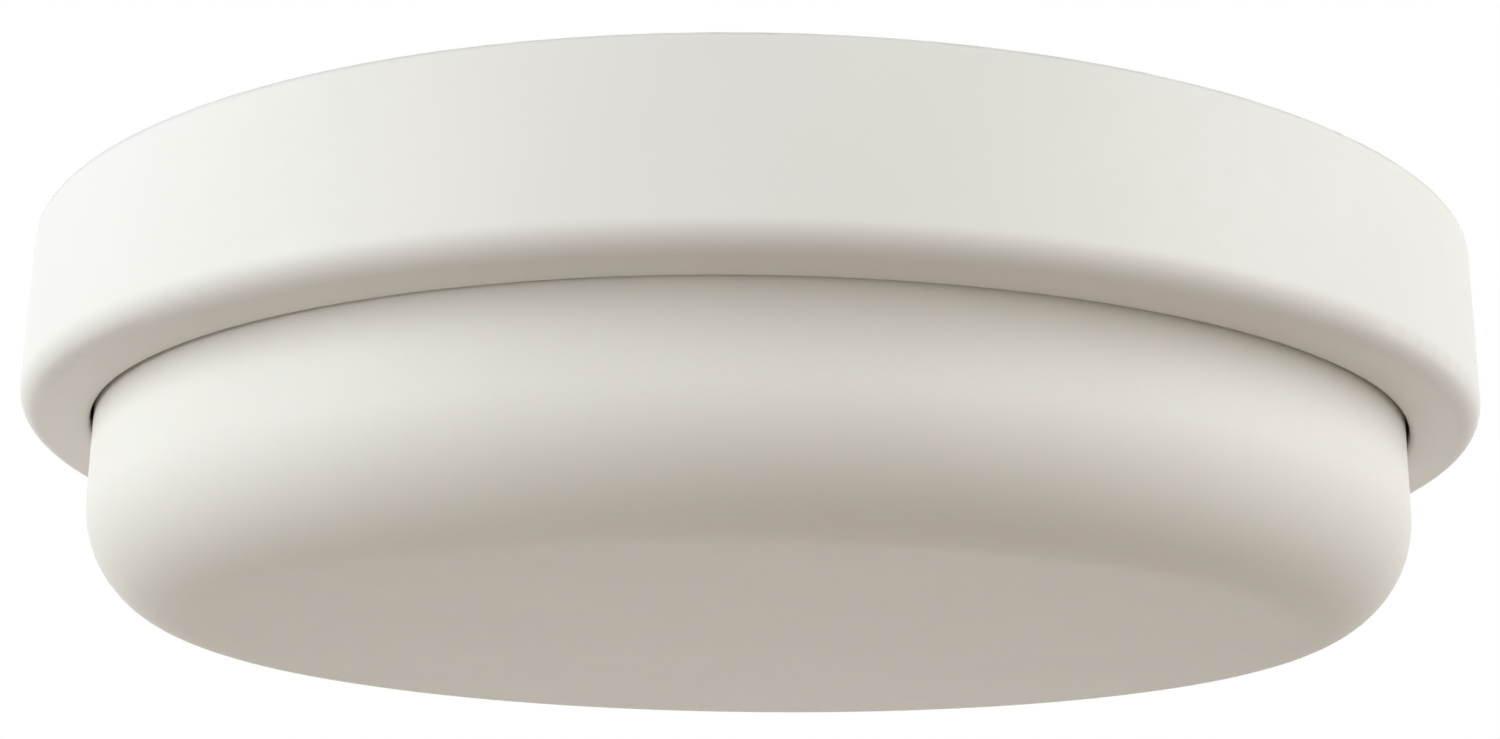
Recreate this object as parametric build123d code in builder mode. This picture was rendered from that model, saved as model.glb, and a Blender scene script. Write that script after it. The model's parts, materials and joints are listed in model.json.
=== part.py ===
from build123d import *
import math
import os

# LED ceiling light: a moulded pan screwed to the ceiling, a push-fit opal diffuser, a clip-on trim
# ring around both, and the light source, driver and terminal between pan and diffuser.
# Millimetres. The ceiling is the plane z = 0, +Z is up, and the light hangs below it on the Z axis.

# Diffuser
diffuser_diameter = 272.0
diffuser_drop = 37.6
diffuser_wall = 2.2
diffuser_corner_radius = 22.0
diffuser_draft_degrees = 0.5
bead_inset = 2.0
bead_height = 3.2
bead_depth = 1.2

# Trim ring
trim_gap = 0.5
trim_width = 13.5
trim_height = 34.7
trim_wall = 2.5
trim_edge_radius = 5.0
trim_lip_chamfer = 0.5
trim_clearance = 1.1
trim_rib_gap = 0.3
trim_rib_count = 12
trim_rib_width = 1.6
trim_rib_inset = 4.0
ceiling_gap = 0.5

# Back pan
floor_recess = 2.0
floor_thickness = 2.5
pan_wall = 2.2
pan_edge_chamfer = 1.0
pan_seat_gap = 0.3
collar_clearance = 0.5
collar_wall = 2.0
collar_depth = 15.0
web_count = 24
web_width = 1.6
web_depth = 12.0
back_rib_count = 12
back_rib_width = 2.0
back_rib_relief = 0.4
back_rib_clearance = 0.5
wall_bite = 0.6
pillar_radius = 4.5
pillar_fin_reach = 3.0
pillar_fin_width = 1.6
pillar_fin_height = 16.0
boss_radius = 4.5
pilot_depth = 3.4
pilot_spare = 1.0

# Ceiling fixings and cable entry
fixing_circle = 200.0
fixing_count = 3
fixing_start = 90.0
fixing_hole_radius = 2.75
fixing_pad_radius = 9.0
fixing_seal_radius = 6.5
fixing_seal_thickness = 1.6
entry_radius = 10.0
grommet_bore_radius = 4.0
grommet_flange = 3.0
grommet_lip = 1.4
gasket_width = 9.0
gasket_inset = 8.2

# Seal and spring clips under the diffuser's rim
seal_height = 4.0
seal_clearance = 0.2
clip_count = 3
clip_start = 60.0
clip_width = 14.0
clip_thickness = 0.6
clip_foot = 13.0
clip_screw_setback = 12.0
clip_clearance = 0.3
clip_tail_length = 7.0
clip_tail_lean = 3.2
clip_bend_radius = 2.0
clip_nose_radius = 1.0

# Gear tray
tray_rim_gap = 8.8
tray_thickness = 1.0
tray_slope_width = 9.0
tray_slope_height = 8.0
tray_screw_inset = 6.0
tray_screw_count = 3
tray_screw_start = 30.0
tray_screw_length = 12.0

# Light source
board_screw_gap = 10.0
board_width = 30.0
board_thickness = 1.2
board_screw_count = 3
board_screw_start = 90.0
board_screw_length = 5.0
led_length = 3.5
led_width = 2.8
led_height = 0.7
led_row_inset = 7.0
inner_led_count = 32
outer_led_count = 40
connector_length = 8.0
connector_width = 11.0
connector_height = 4.4
connector_inset = 1.0

# Driver
driver_length = 104.0
driver_width = 40.0
driver_height = 20.0
driver_clearance = 4.5
driver_offset = 45.0
supply_offset = 26.0
output_offset = 34.0
driver_wall = 1.6
driver_edge_radius = 3.0
driver_lip_depth = 2.0
driver_lip_clearance = 0.2
driver_ear_length = 12.0
driver_ear_width = 16.0
driver_ear_thickness = 2.5
driver_ear_level = 8.0
driver_standoff = 4.0
driver_standoff_radius = 2.5
driver_board_margin = 1.4
driver_board_thickness = 1.6
transformer_length = 18.0
transformer_width = 15.0
transformer_height = 8.0
capacitor_radius = 4.0
capacitor_height = 8.0
capacitor_pitch = 14.0
capacitor_offset = 26.0

# Supply terminal
terminal_offset = 50.0
terminal_pitch = 10.0
terminal_poles = 3
terminal_depth = 20.0
terminal_height = 16.0
terminal_end = 7.0
terminal_ear_length = 9.0
terminal_ear_width = 12.0
terminal_ear_thickness = 3.0
contact_width = 6.0
contact_length = 14.0
contact_height = 6.0
contact_clearance = 0.05
contact_setback = 2.0
button_width = 6.0
button_length = 8.0
button_clearance = 0.2
button_travel = 1.5
button_depth = 5.0
moulding_chamfer = 0.5

# Wires, earth bond and screws
wire_radius = 0.9
wire_sides = 8
wire_clearance = 0.3
wire_bend_radius = 6.0
wire_sweep_radius = 14.0
lead_spacing = 6.0
lead_drop_setback = 16.0
bush_wall = 2.0
bush_flange = 2.0
bush_lip = 1.2
earth_x = 36.0
earth_y = 18.0
tag_radius = 5.0
tag_thickness = 0.8
tag_barrel_length = 7.0
tag_barrel_wall = 0.6
nut_across_flats = 7.0
nut_height = 3.2
earth_shaft_radius = 2.0
screw_shaft_radius = 1.25
screw_head_radius = 2.7
screw_head_height = 2.0
screw_clearance = 0.05

# Levels
trim_top = -ceiling_gap
trim_bottom = trim_top - trim_height
trim_ledge = trim_bottom + trim_wall
pan_end = trim_ledge + pan_seat_gap
floor_back = -floor_recess
floor_face = floor_back - floor_thickness
rim_top = floor_face - seal_height
bead_top = rim_top - bead_inset
bead_bottom = bead_top - bead_height
diffuser_bottom = trim_bottom - diffuser_drop
tray_back = floor_face - driver_height - driver_clearance
tray_face = tray_back - tray_thickness
board_face = tray_face - board_thickness
rib_top = -back_rib_relief
contact_face = floor_face - contact_setback
wire_level = contact_face - contact_height / 2
connector_level = board_face - connector_height / 2

# Radii
diffuser_radius = diffuser_diameter / 2
diffuser_inner = diffuser_radius - diffuser_wall
bead_radius = diffuser_inner - bead_depth
collar_inner = diffuser_radius + collar_clearance
collar_outer = collar_inner + collar_wall
throat_radius = diffuser_radius + trim_gap
trim_radius = throat_radius + trim_width
trim_inner = trim_radius - trim_wall
pan_radius = trim_inner - trim_clearance
pan_inner = pan_radius - pan_wall
gasket_outer = pan_inner - gasket_inset
gasket_inner = gasket_outer - gasket_width
clip_neck = bead_radius - clip_clearance - clip_thickness / 2
clip_nose = diffuser_inner - clip_clearance - clip_thickness / 2
clip_screw_radius = clip_neck - clip_screw_setback
tray_radius = diffuser_inner - tray_rim_gap
tray_flat_radius = tray_radius - tray_slope_width
tray_screw_radius = tray_flat_radius - tray_screw_inset
board_outer = tray_screw_radius - board_screw_gap
board_inner = board_outer - board_width
board_middle = (board_inner + board_outer) / 2
pilot_radius = screw_shaft_radius + screw_clearance

# Places
driver_y = -driver_offset
driver_face_y = driver_y + driver_width / 2
supply_x = -supply_offset
output_x = output_offset
driver_ear_x = driver_length / 2 + driver_ear_length / 2
terminal_y = terminal_offset
terminal_half = (terminal_poles - 1) * terminal_pitch / 2 + terminal_end
terminal_ear_x = terminal_half + terminal_ear_length / 2
connector_x = board_inner + connector_inset + connector_length / 2
lead_drop_x = board_inner - lead_drop_setback
bush_bore = lead_spacing / 2 + wire_radius + wire_clearance
bush_hole = bush_bore + bush_wall
fixing_radius = fixing_circle / 2
rib_start = entry_radius + 2 * grommet_flange
rib_end = gasket_inner - back_rib_clearance


def screw(length, shaft_radius=screw_shaft_radius, head_radius=screw_head_radius):
    """A pan-head screw driven from below: its shaft points up from the head's seat at z = 0."""
    with BuildPart() as blank:
        Cylinder(shaft_radius, length, align=(Align.CENTER, Align.CENTER, Align.MIN))
        Cylinder(head_radius, screw_head_height, align=(Align.CENTER, Align.CENTER, Align.MAX))
    return blank.part


def wire(route, bends):
    """An insulated conductor along straight runs joined by tangent arcs."""
    with BuildPart() as run:
        with BuildLine() as path:
            FilletPolyline(*route, radius=bends)
        with BuildSketch(Plane(origin=path.line @ 0, z_dir=path.line % 0)):
            RegularPolygon(wire_radius, wire_sides)
        sweep(path=path.line)
    return run.part


# Diffuser: a drafted cup with a flat face, a wide rounded corner and a bead inside its rim
with BuildPart() as diffuser:
    draft_run = math.tan(math.radians(diffuser_draft_degrees)) * (rim_top - diffuser_bottom)
    with BuildSketch(Plane.XZ):
        with BuildLine():
            FilletPolyline(
                (0, rim_top),
                (diffuser_radius, rim_top),
                (diffuser_radius - draft_run, diffuser_bottom),
                (0, diffuser_bottom),
                radius=[0, 0, diffuser_corner_radius, 0],
                close=True,
            )
        make_face()
    revolve(axis=Axis.Z)
    offset(amount=-diffuser_wall, openings=diffuser.faces().sort_by(Axis.Z)[-1])
    with BuildSketch(Plane.XZ):
        with BuildLine():
            Polyline(
                (diffuser_inner + diffuser_wall / 2, bead_top),
                (diffuser_inner, bead_top),
                (bead_radius, bead_top - bead_depth),
                (bead_radius, bead_bottom + bead_depth),
                (diffuser_inner, bead_bottom),
                (diffuser_inner + diffuser_wall / 2, bead_bottom),
                close=True,
            )
        make_face()
    revolve(axis=Axis.Z)

# Trim ring: wall and inward flange with a rounded lower edge, and friction ribs that grip the pan
with BuildPart() as trim_ring:
    trim_inner_chamfer = (trim_edge_radius - trim_wall) * (2 - math.sqrt(2))
    with BuildSketch(Plane.XZ):
        with BuildLine():
            FilletPolyline(
                (trim_inner, trim_top),
                (trim_radius, trim_top),
                (trim_radius, trim_bottom),
                (throat_radius + trim_lip_chamfer, trim_bottom),
                (throat_radius, trim_bottom + trim_lip_chamfer),
                (throat_radius, trim_ledge),
                (trim_inner - trim_inner_chamfer, trim_ledge),
                (trim_inner, trim_ledge + trim_inner_chamfer),
                radius=[0, 0, trim_edge_radius, 0, 0, 0, 0, 0],
                close=True,
            )
        make_face()
    revolve(axis=Axis.Z)
    rib_low = trim_ledge + trim_rib_inset
    rib_high = trim_top - trim_rib_inset
    grip_radius = pan_radius + trim_rib_gap
    with PolarLocations((grip_radius + trim_inner + wall_bite) / 2, trim_rib_count):
        with Locations((0, 0, (rib_low + rib_high) / 2)):
            Box(trim_inner + wall_bite - grip_radius, trim_rib_width, rib_high - rib_low)

# Back pan: floor, outer wall and diffuser collar in one moulding, with webs, ribs, pads and pillars
with BuildPart() as back_pan:
    with BuildSketch(Plane.XZ):
        with BuildLine():
            Polyline(
                (entry_radius, floor_back),
                (pan_inner, floor_back),
                (pan_inner, 0),
                (pan_radius, 0),
                (pan_radius, pan_end + pan_edge_chamfer),
                (pan_radius - pan_edge_chamfer, pan_end),
                (pan_inner, pan_end),
                (pan_inner, floor_face),
                (collar_outer, floor_face),
                (collar_outer, floor_face - collar_depth),
                (collar_inner, floor_face - collar_depth),
                (collar_inner, floor_face),
                (entry_radius, floor_face),
                close=True,
            )
        make_face()
    revolve(axis=Axis.Z)
    with PolarLocations((collar_outer + pan_inner) / 2, web_count, start_angle=180 / web_count):
        with Locations((0, 0, floor_face - web_depth / 2)):
            Box(pan_inner - collar_outer + 2 * wall_bite, web_width, web_depth)
    with PolarLocations((rib_start + rib_end) / 2, back_rib_count):
        with Locations((0, 0, (floor_back + rib_top) / 2)):
            Box(rib_end - rib_start, back_rib_width, rib_top - floor_back)
    with PolarLocations(fixing_radius, fixing_count, start_angle=fixing_start):
        with Locations((0, 0, floor_back / 2)):
            Cylinder(fixing_pad_radius, floor_recess)
        with Locations((0, 0, 0)):
            Hole(fixing_hole_radius, depth=floor_recess + floor_thickness)
    with PolarLocations(tray_screw_radius, tray_screw_count, start_angle=tray_screw_start):
        with Locations((0, 0, (floor_face + tray_back) / 2)):
            Cylinder(pillar_radius, floor_face - tray_back)
        with Locations((0, 0, floor_face - pillar_fin_height / 2)):
            Box(2 * (pillar_radius + pillar_fin_reach), pillar_fin_width, pillar_fin_height)
            Box(pillar_fin_width, 2 * (pillar_radius + pillar_fin_reach), pillar_fin_height)
        with Locations((0, 0, tray_back)):
            Cylinder(
                pilot_radius,
                tray_screw_length,
                align=(Align.CENTER, Align.CENTER, Align.MIN),
                mode=Mode.SUBTRACT,
            )
    with GridLocations(2 * driver_ear_x, 1, 2, 1):
        with Locations((0, driver_y, floor_face)):
            Cylinder(boss_radius, driver_ear_level, align=(Align.CENTER, Align.CENTER, Align.MAX))
    with GridLocations(2 * driver_ear_x, 1, 2, 1):
        with Locations((0, driver_y, floor_face - driver_ear_level)):
            Cylinder(
                pilot_radius,
                driver_ear_level,
                align=(Align.CENTER, Align.CENTER, Align.MIN),
                mode=Mode.SUBTRACT,
            )
    with PolarLocations(clip_screw_radius, clip_count, start_angle=clip_start):
        with Locations((0, 0, floor_back)):
            Cylinder(boss_radius, rib_top - floor_back, align=(Align.CENTER, Align.CENTER, Align.MIN))
        with Locations((0, 0, floor_face)):
            Cylinder(
                pilot_radius, pilot_depth, align=(Align.CENTER, Align.CENTER, Align.MIN), mode=Mode.SUBTRACT
            )
    with GridLocations(2 * terminal_ear_x, 1, 2, 1):
        with Locations((0, terminal_y, floor_back)):
            Cylinder(boss_radius, rib_top - floor_back, align=(Align.CENTER, Align.CENTER, Align.MIN))
        with Locations((0, terminal_y, floor_face)):
            Cylinder(
                pilot_radius, pilot_depth, align=(Align.CENTER, Align.CENTER, Align.MIN), mode=Mode.SUBTRACT
            )

# Foam gasket in the recess behind the pan's floor
with BuildPart() as ceiling_gasket:
    with BuildSketch(Plane.XY.offset(floor_back)):
        Circle(gasket_outer)
        Circle(gasket_inner, mode=Mode.SUBTRACT)
    extrude(amount=floor_recess)

# Rubber grommet: two lips either side of the floor's edge around a plain bore
with BuildPart() as cable_grommet:
    with BuildSketch(Plane.XZ):
        with BuildLine():
            Polyline(
                (grommet_bore_radius, floor_back + grommet_lip),
                (entry_radius + grommet_flange, floor_back + grommet_lip),
                (entry_radius + grommet_flange, floor_back),
                (entry_radius, floor_back),
                (entry_radius, floor_face),
                (entry_radius + grommet_flange, floor_face),
                (entry_radius, floor_face - 2 * grommet_lip),
                (grommet_bore_radius, floor_face - 2 * grommet_lip),
                close=True,
            )
        make_face()
    revolve(axis=Axis.Z)

# Rubber washers under the heads of the ceiling screws
with BuildPart() as fixing_seals:
    with BuildSketch(Plane.XY.offset(floor_face)):
        with PolarLocations(fixing_radius, fixing_count, start_angle=fixing_start):
            Circle(fixing_seal_radius)
            Circle(fixing_hole_radius, mode=Mode.SUBTRACT)
    extrude(amount=-fixing_seal_thickness)

# Silicone ring that the diffuser's rim closes on
with BuildPart() as diffuser_seal:
    with BuildSketch(Plane.XY.offset(floor_face)):
        Circle(collar_inner - seal_clearance)
        Circle(bead_radius, mode=Mode.SUBTRACT)
    extrude(amount=-seal_height)

# Leaf springs: a foot on the floor, a neck past the bead, a nose under it and a lead-in tail
with BuildPart() as clip:
    clip_foot_level = floor_face - clip_thickness / 2
    neck_level = bead_bottom - clip_clearance
    nose_level = neck_level - (clip_nose - clip_neck)
    with BuildLine(Plane.XZ) as clip_path:
        FilletPolyline(
            (clip_screw_radius - clip_foot / 2, clip_foot_level),
            (clip_neck, clip_foot_level),
            (clip_neck, neck_level),
            (clip_nose, nose_level),
            (clip_nose - clip_tail_lean, nose_level - clip_tail_length),
            radius=[clip_bend_radius, clip_nose_radius, clip_nose_radius],
        )
    with BuildSketch(Plane(origin=clip_path.line @ 0, x_dir=(0, 1, 0), z_dir=clip_path.line % 0)):
        Rectangle(clip_width, clip_thickness)
    sweep(path=clip_path.line)
    with Locations((clip_screw_radius, 0, floor_face)):
        Hole(pilot_radius, depth=clip_thickness)
with BuildPart() as spring_clips:
    with PolarLocations(0, clip_count, start_angle=clip_start):
        add(clip.part)
with BuildPart() as clip_screws:
    with PolarLocations(clip_screw_radius, clip_count, start_angle=clip_start):
        with Locations((0, 0, floor_face - clip_thickness)):
            add(screw(clip_thickness + pilot_depth))

# Gear tray: a pressed sheet pan with a sloping reflector edge
with BuildPart() as gear_tray:
    with BuildSketch(Plane.XZ):
        with BuildLine():
            Polyline((0, tray_face), (tray_flat_radius, tray_face), (tray_radius, tray_face + tray_slope_height))
            offset(amount=tray_thickness, side=Side.LEFT)
        make_face()
    revolve(axis=Axis.Z)
    with PolarLocations(tray_screw_radius, tray_screw_count, start_angle=tray_screw_start):
        with Locations((0, 0, tray_back)):
            Hole(pilot_radius, depth=tray_thickness)
    with PolarLocations(board_middle, board_screw_count, start_angle=board_screw_start):
        with Locations((0, 0, tray_back)):
            Hole(pilot_radius, depth=tray_thickness)
    with Locations((lead_drop_x, 0, tray_back)):
        Hole(bush_hole, depth=tray_thickness)
    with Locations((earth_x, earth_y, tray_back)):
        Hole(earth_shaft_radius + screw_clearance, depth=tray_thickness)
with BuildPart() as tray_screws:
    with PolarLocations(tray_screw_radius, tray_screw_count, start_angle=tray_screw_start):
        with Locations((0, 0, tray_face)):
            add(screw(tray_thickness + tray_screw_length - pilot_spare))

# Light source: an annular board with two rings of LED packages and a lead connector
with BuildPart() as led_board:
    with BuildSketch(Plane.XY.offset(tray_face)):
        Circle(board_outer)
        Circle(board_inner, mode=Mode.SUBTRACT)
        with PolarLocations(board_middle, board_screw_count, start_angle=board_screw_start):
            Circle(pilot_radius, mode=Mode.SUBTRACT)
    extrude(amount=-board_thickness)
with BuildPart() as led_packages:
    with BuildSketch(Plane.XY.offset(board_face)):
        with PolarLocations(board_inner + led_row_inset, inner_led_count, start_angle=180 / inner_led_count):
            Rectangle(led_width, led_length)
        with PolarLocations(board_outer - led_row_inset, outer_led_count, start_angle=180 / outer_led_count):
            Rectangle(led_width, led_length)
    extrude(amount=-led_height)
with BuildPart() as board_screws:
    with PolarLocations(board_middle, board_screw_count, start_angle=board_screw_start):
        with Locations((0, 0, board_face)):
            add(screw(board_screw_length))
with BuildPart() as board_connector:
    with Locations((connector_x, 0, board_face)):
        Box(
            connector_length,
            connector_width,
            connector_height,
            align=(Align.CENTER, Align.CENTER, Align.MAX),
        )
    chamfer(board_connector.edges().group_by(Axis.Z)[0], moulding_chamfer)
    with BuildSketch(Plane.YZ.offset(connector_x - connector_length / 2)):
        with Locations((-lead_spacing / 2, connector_level), (lead_spacing / 2, connector_level)):
            Circle(wire_radius + wire_clearance)
    extrude(amount=connector_length / 2, mode=Mode.SUBTRACT)

# Rubber bush around the leads where they pass through the tray
with BuildPart() as wire_bush:
    with BuildSketch(Plane.XZ):
        with BuildLine():
            Polyline(
                (bush_bore, tray_back + bush_lip),
                (bush_hole + bush_flange, tray_back + bush_lip),
                (bush_hole + bush_flange, tray_back),
                (bush_hole, tray_back),
                (bush_hole, tray_face),
                (bush_hole + bush_flange, tray_face),
                (bush_hole + bush_flange, tray_face - bush_lip),
                (bush_bore, tray_face - bush_lip),
                close=True,
            )
        make_face()
    revolve(axis=Axis.Z)
wire_bush.part.position += (lead_drop_x, 0, 0)

# Driver: a tub with fixing ears, its lid, and the circuit inside
driver_open = floor_face - driver_height + driver_wall
driver_roof = floor_face - driver_wall
driver_board_back = driver_roof - driver_standoff
driver_board_face = driver_board_back - driver_board_thickness
driver_board_length = driver_length - 2 * (driver_wall + driver_board_margin)
driver_board_width = driver_width - 2 * (driver_wall + driver_board_margin)
with BuildPart() as driver_case:
    with BuildSketch(Plane.XY.offset(floor_face)):
        with Locations((0, driver_y)):
            RectangleRounded(driver_length, driver_width, driver_edge_radius)
    extrude(amount=driver_open - floor_face)
    offset(amount=-driver_wall, openings=driver_case.faces().sort_by(Axis.Z)[0])
    with GridLocations(2 * driver_ear_x, 1, 2, 1):
        with Locations((0, driver_y, floor_face - driver_ear_level)):
            Box(
                driver_ear_length,
                driver_ear_width,
                driver_ear_thickness,
                align=(Align.CENTER, Align.CENTER, Align.MAX),
            )
    with GridLocations(2 * driver_ear_x, 1, 2, 1):
        with Locations((0, driver_y, floor_face - driver_ear_level)):
            Hole(pilot_radius, depth=driver_ear_thickness)
    standoff_spread_x = driver_board_length - 4 * driver_standoff_radius
    standoff_spread_y = driver_board_width - 4 * driver_standoff_radius
    with Locations((0, driver_y, driver_roof)):
        with GridLocations(standoff_spread_x, standoff_spread_y, 2, 2):
            Cylinder(
                driver_standoff_radius, driver_standoff, align=(Align.CENTER, Align.CENTER, Align.MAX)
            )
    with BuildSketch(Plane.XZ.offset(-driver_face_y)):
        with Locations(
            (supply_x, wire_level),
            (supply_x - terminal_pitch, wire_level),
            (output_x, wire_level),
            (output_x - terminal_pitch, wire_level),
        ):
            Circle(wire_radius + wire_clearance)
    extrude(amount=driver_wall, mode=Mode.SUBTRACT)
with BuildPart() as driver_lid:
    with BuildSketch(Plane.XY.offset(driver_open)):
        with Locations((0, driver_y)):
            RectangleRounded(driver_length, driver_width, driver_edge_radius)
    extrude(amount=-driver_wall)
    lip_inset = 2 * (driver_wall + driver_lip_clearance)
    with BuildSketch(Plane.XY.offset(driver_open)):
        with Locations((0, driver_y)):
            RectangleRounded(
                driver_length - lip_inset, driver_width - lip_inset, driver_edge_radius - driver_wall
            )
            Rectangle(
                driver_length - lip_inset - 2 * driver_wall,
                driver_width - lip_inset - 2 * driver_wall,
                mode=Mode.SUBTRACT,
            )
    extrude(amount=driver_lip_depth)
with BuildPart() as driver_screws:
    with GridLocations(2 * driver_ear_x, 1, 2, 1):
        with Locations((0, driver_y, floor_face - driver_ear_level - driver_ear_thickness)):
            add(screw(driver_ear_thickness + driver_ear_level - pilot_spare))
with BuildPart() as driver_board:
    with Locations((0, driver_y, driver_board_back)):
        Box(
            driver_board_length,
            driver_board_width,
            driver_board_thickness,
            align=(Align.CENTER, Align.CENTER, Align.MAX),
        )
with BuildPart() as driver_transformer:
    with Locations((0, driver_y, driver_board_face)):
        Box(
            transformer_length,
            transformer_width,
            transformer_height,
            align=(Align.CENTER, Align.CENTER, Align.MAX),
        )
    chamfer(driver_transformer.edges().filter_by(Axis.Z), moulding_chamfer)
with BuildPart() as driver_capacitors:
    with Locations((-capacitor_offset, driver_y, driver_board_face)):
        with GridLocations(1, capacitor_pitch, 1, 2):
            Cylinder(
                capacitor_radius, capacitor_height, align=(Align.CENTER, Align.CENTER, Align.MAX)
            )

# Supply terminal: a push-in block with brass contacts and a release button for each pole
pole_places = [(index - (terminal_poles - 1) / 2) * terminal_pitch for index in range(terminal_poles)]
terminal_face = floor_face - terminal_height
pocket_depth = contact_setback + contact_height
with BuildPart() as terminal_block:
    with Locations((0, terminal_y, floor_face)):
        Box(
            2 * terminal_half,
            terminal_depth,
            terminal_height,
            align=(Align.CENTER, Align.CENTER, Align.MAX),
        )
    chamfer(terminal_block.edges().group_by(Axis.Z)[0], moulding_chamfer)
    with GridLocations(2 * terminal_ear_x, 1, 2, 1):
        with Locations((0, terminal_y, floor_face)):
            Box(
                terminal_ear_length,
                terminal_ear_width,
                terminal_ear_thickness,
                align=(Align.CENTER, Align.CENTER, Align.MAX),
            )
    with GridLocations(2 * terminal_ear_x, 1, 2, 1):
        with Locations((0, terminal_y, floor_face)):
            Hole(pilot_radius, depth=terminal_ear_thickness)
    with BuildSketch(Plane.XY.offset(floor_face)):
        with Locations(*[(x, terminal_y) for x in pole_places]):
            Rectangle(contact_width + 2 * contact_clearance, contact_length + 2 * contact_clearance)
    extrude(amount=-pocket_depth, mode=Mode.SUBTRACT)
    with BuildSketch(Plane.XZ.offset(-terminal_y)):
        with Locations(*[(x, wire_level) for x in pole_places]):
            Circle(wire_radius + wire_clearance)
    extrude(amount=terminal_depth / 2, both=True, mode=Mode.SUBTRACT)
    with BuildSketch(Plane.XY.offset(terminal_face)):
        with Locations(*[(x, terminal_y) for x in pole_places]):
            Rectangle(button_width + 2 * button_clearance, button_length + 2 * button_clearance)
    extrude(amount=button_depth, mode=Mode.SUBTRACT)
with BuildPart() as terminal_contacts:
    with Locations(*[(x, terminal_y, contact_face) for x in pole_places]):
        Box(
            contact_width,
            contact_length,
            contact_height,
            align=(Align.CENTER, Align.CENTER, Align.MAX),
        )
    with BuildSketch(Plane.XZ.offset(-terminal_y)):
        with Locations(*[(x, wire_level) for x in pole_places]):
            Circle(wire_radius + wire_clearance)
    extrude(amount=contact_length / 2, both=True, mode=Mode.SUBTRACT)
with BuildPart() as terminal_screws:
    with GridLocations(2 * terminal_ear_x, 1, 2, 1):
        with Locations((0, terminal_y, floor_face - terminal_ear_thickness)):
            add(screw(terminal_ear_thickness + pilot_depth))
release_buttons = []
for pole_x in pole_places:
    with BuildPart() as button:
        with Locations((pole_x, terminal_y, terminal_face - button_travel)):
            Box(
                button_width,
                button_length,
                button_depth - wire_clearance,
                align=(Align.CENTER, Align.CENTER, Align.MIN),
            )
        chamfer(button.edges().group_by(Axis.Z)[0], moulding_chamfer)
    release_buttons.append(button.part)

# Earth bond on the tray
with BuildPart() as earth_tag:
    with BuildSketch(Plane.XY.offset(tray_back)):
        with Locations((earth_x, earth_y)):
            Circle(tag_radius)
            Circle(earth_shaft_radius + screw_clearance, mode=Mode.SUBTRACT)
    extrude(amount=tag_thickness)
    barrel_radius = wire_radius + wire_clearance + tag_barrel_wall
    barrel_level = tray_back + barrel_radius
    barrel_end = earth_x - tag_radius + tag_barrel_wall
    with BuildSketch(Plane.YZ.offset(barrel_end)):
        with Locations((earth_y, barrel_level)):
            Circle(barrel_radius)
            Circle(wire_radius + wire_clearance, mode=Mode.SUBTRACT)
    extrude(amount=-tag_barrel_length)
with BuildPart() as earth_screw:
    with Locations((earth_x, earth_y, tray_face)):
        add(screw(tray_thickness + tag_thickness + nut_height, earth_shaft_radius, nut_across_flats / 2))
with BuildPart() as earth_nut:
    with BuildSketch(Plane.XY.offset(tray_back + tag_thickness)):
        with Locations((earth_x, earth_y)):
            RegularPolygon(nut_across_flats / 2, 6, major_radius=False)
            Circle(earth_shaft_radius + screw_clearance, mode=Mode.SUBTRACT)
    extrude(amount=nut_height)

# Wiring from terminal to driver and earth bond, and from driver to light source
wire_start_y = terminal_y - contact_length / 4
wire_turn_y = terminal_y - terminal_depth / 2 - wire_sweep_radius
driver_entry_y = driver_face_y - driver_wall / 2
driver_turn_y = driver_face_y + wire_sweep_radius
live_wire = wire(
    [
        (pole_places[0], wire_start_y, wire_level),
        (pole_places[0], wire_turn_y, wire_level),
        (supply_x - terminal_pitch, driver_turn_y, wire_level),
        (supply_x - terminal_pitch, driver_entry_y, wire_level),
    ],
    wire_sweep_radius,
)
neutral_wire = wire(
    [
        (pole_places[1], wire_start_y, wire_level),
        (pole_places[1], wire_turn_y, wire_level),
        (supply_x, driver_turn_y, wire_level),
        (supply_x, driver_entry_y, wire_level),
    ],
    wire_sweep_radius,
)
earth_wire = wire(
    [
        (pole_places[2], wire_start_y, wire_level),
        (pole_places[2], earth_y, wire_level),
        (pole_places[2], earth_y, barrel_level),
        (barrel_end - tag_barrel_length / 2, earth_y, barrel_level),
    ],
    wire_bend_radius,
)
lead_end_x = connector_x - connector_length / 4
leads = []
for lead_x, lead_y in ((output_x, -lead_spacing / 2), (output_x - terminal_pitch, lead_spacing / 2)):
    leads.append(
        wire(
            [
                (lead_x, driver_entry_y, wire_level),
                (lead_x, lead_y, wire_level),
                (lead_drop_x, lead_y, wire_level),
                (lead_drop_x, lead_y, connector_level),
                (lead_end_x, lead_y, connector_level),
            ],
            wire_bend_radius,
        )
    )

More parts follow.
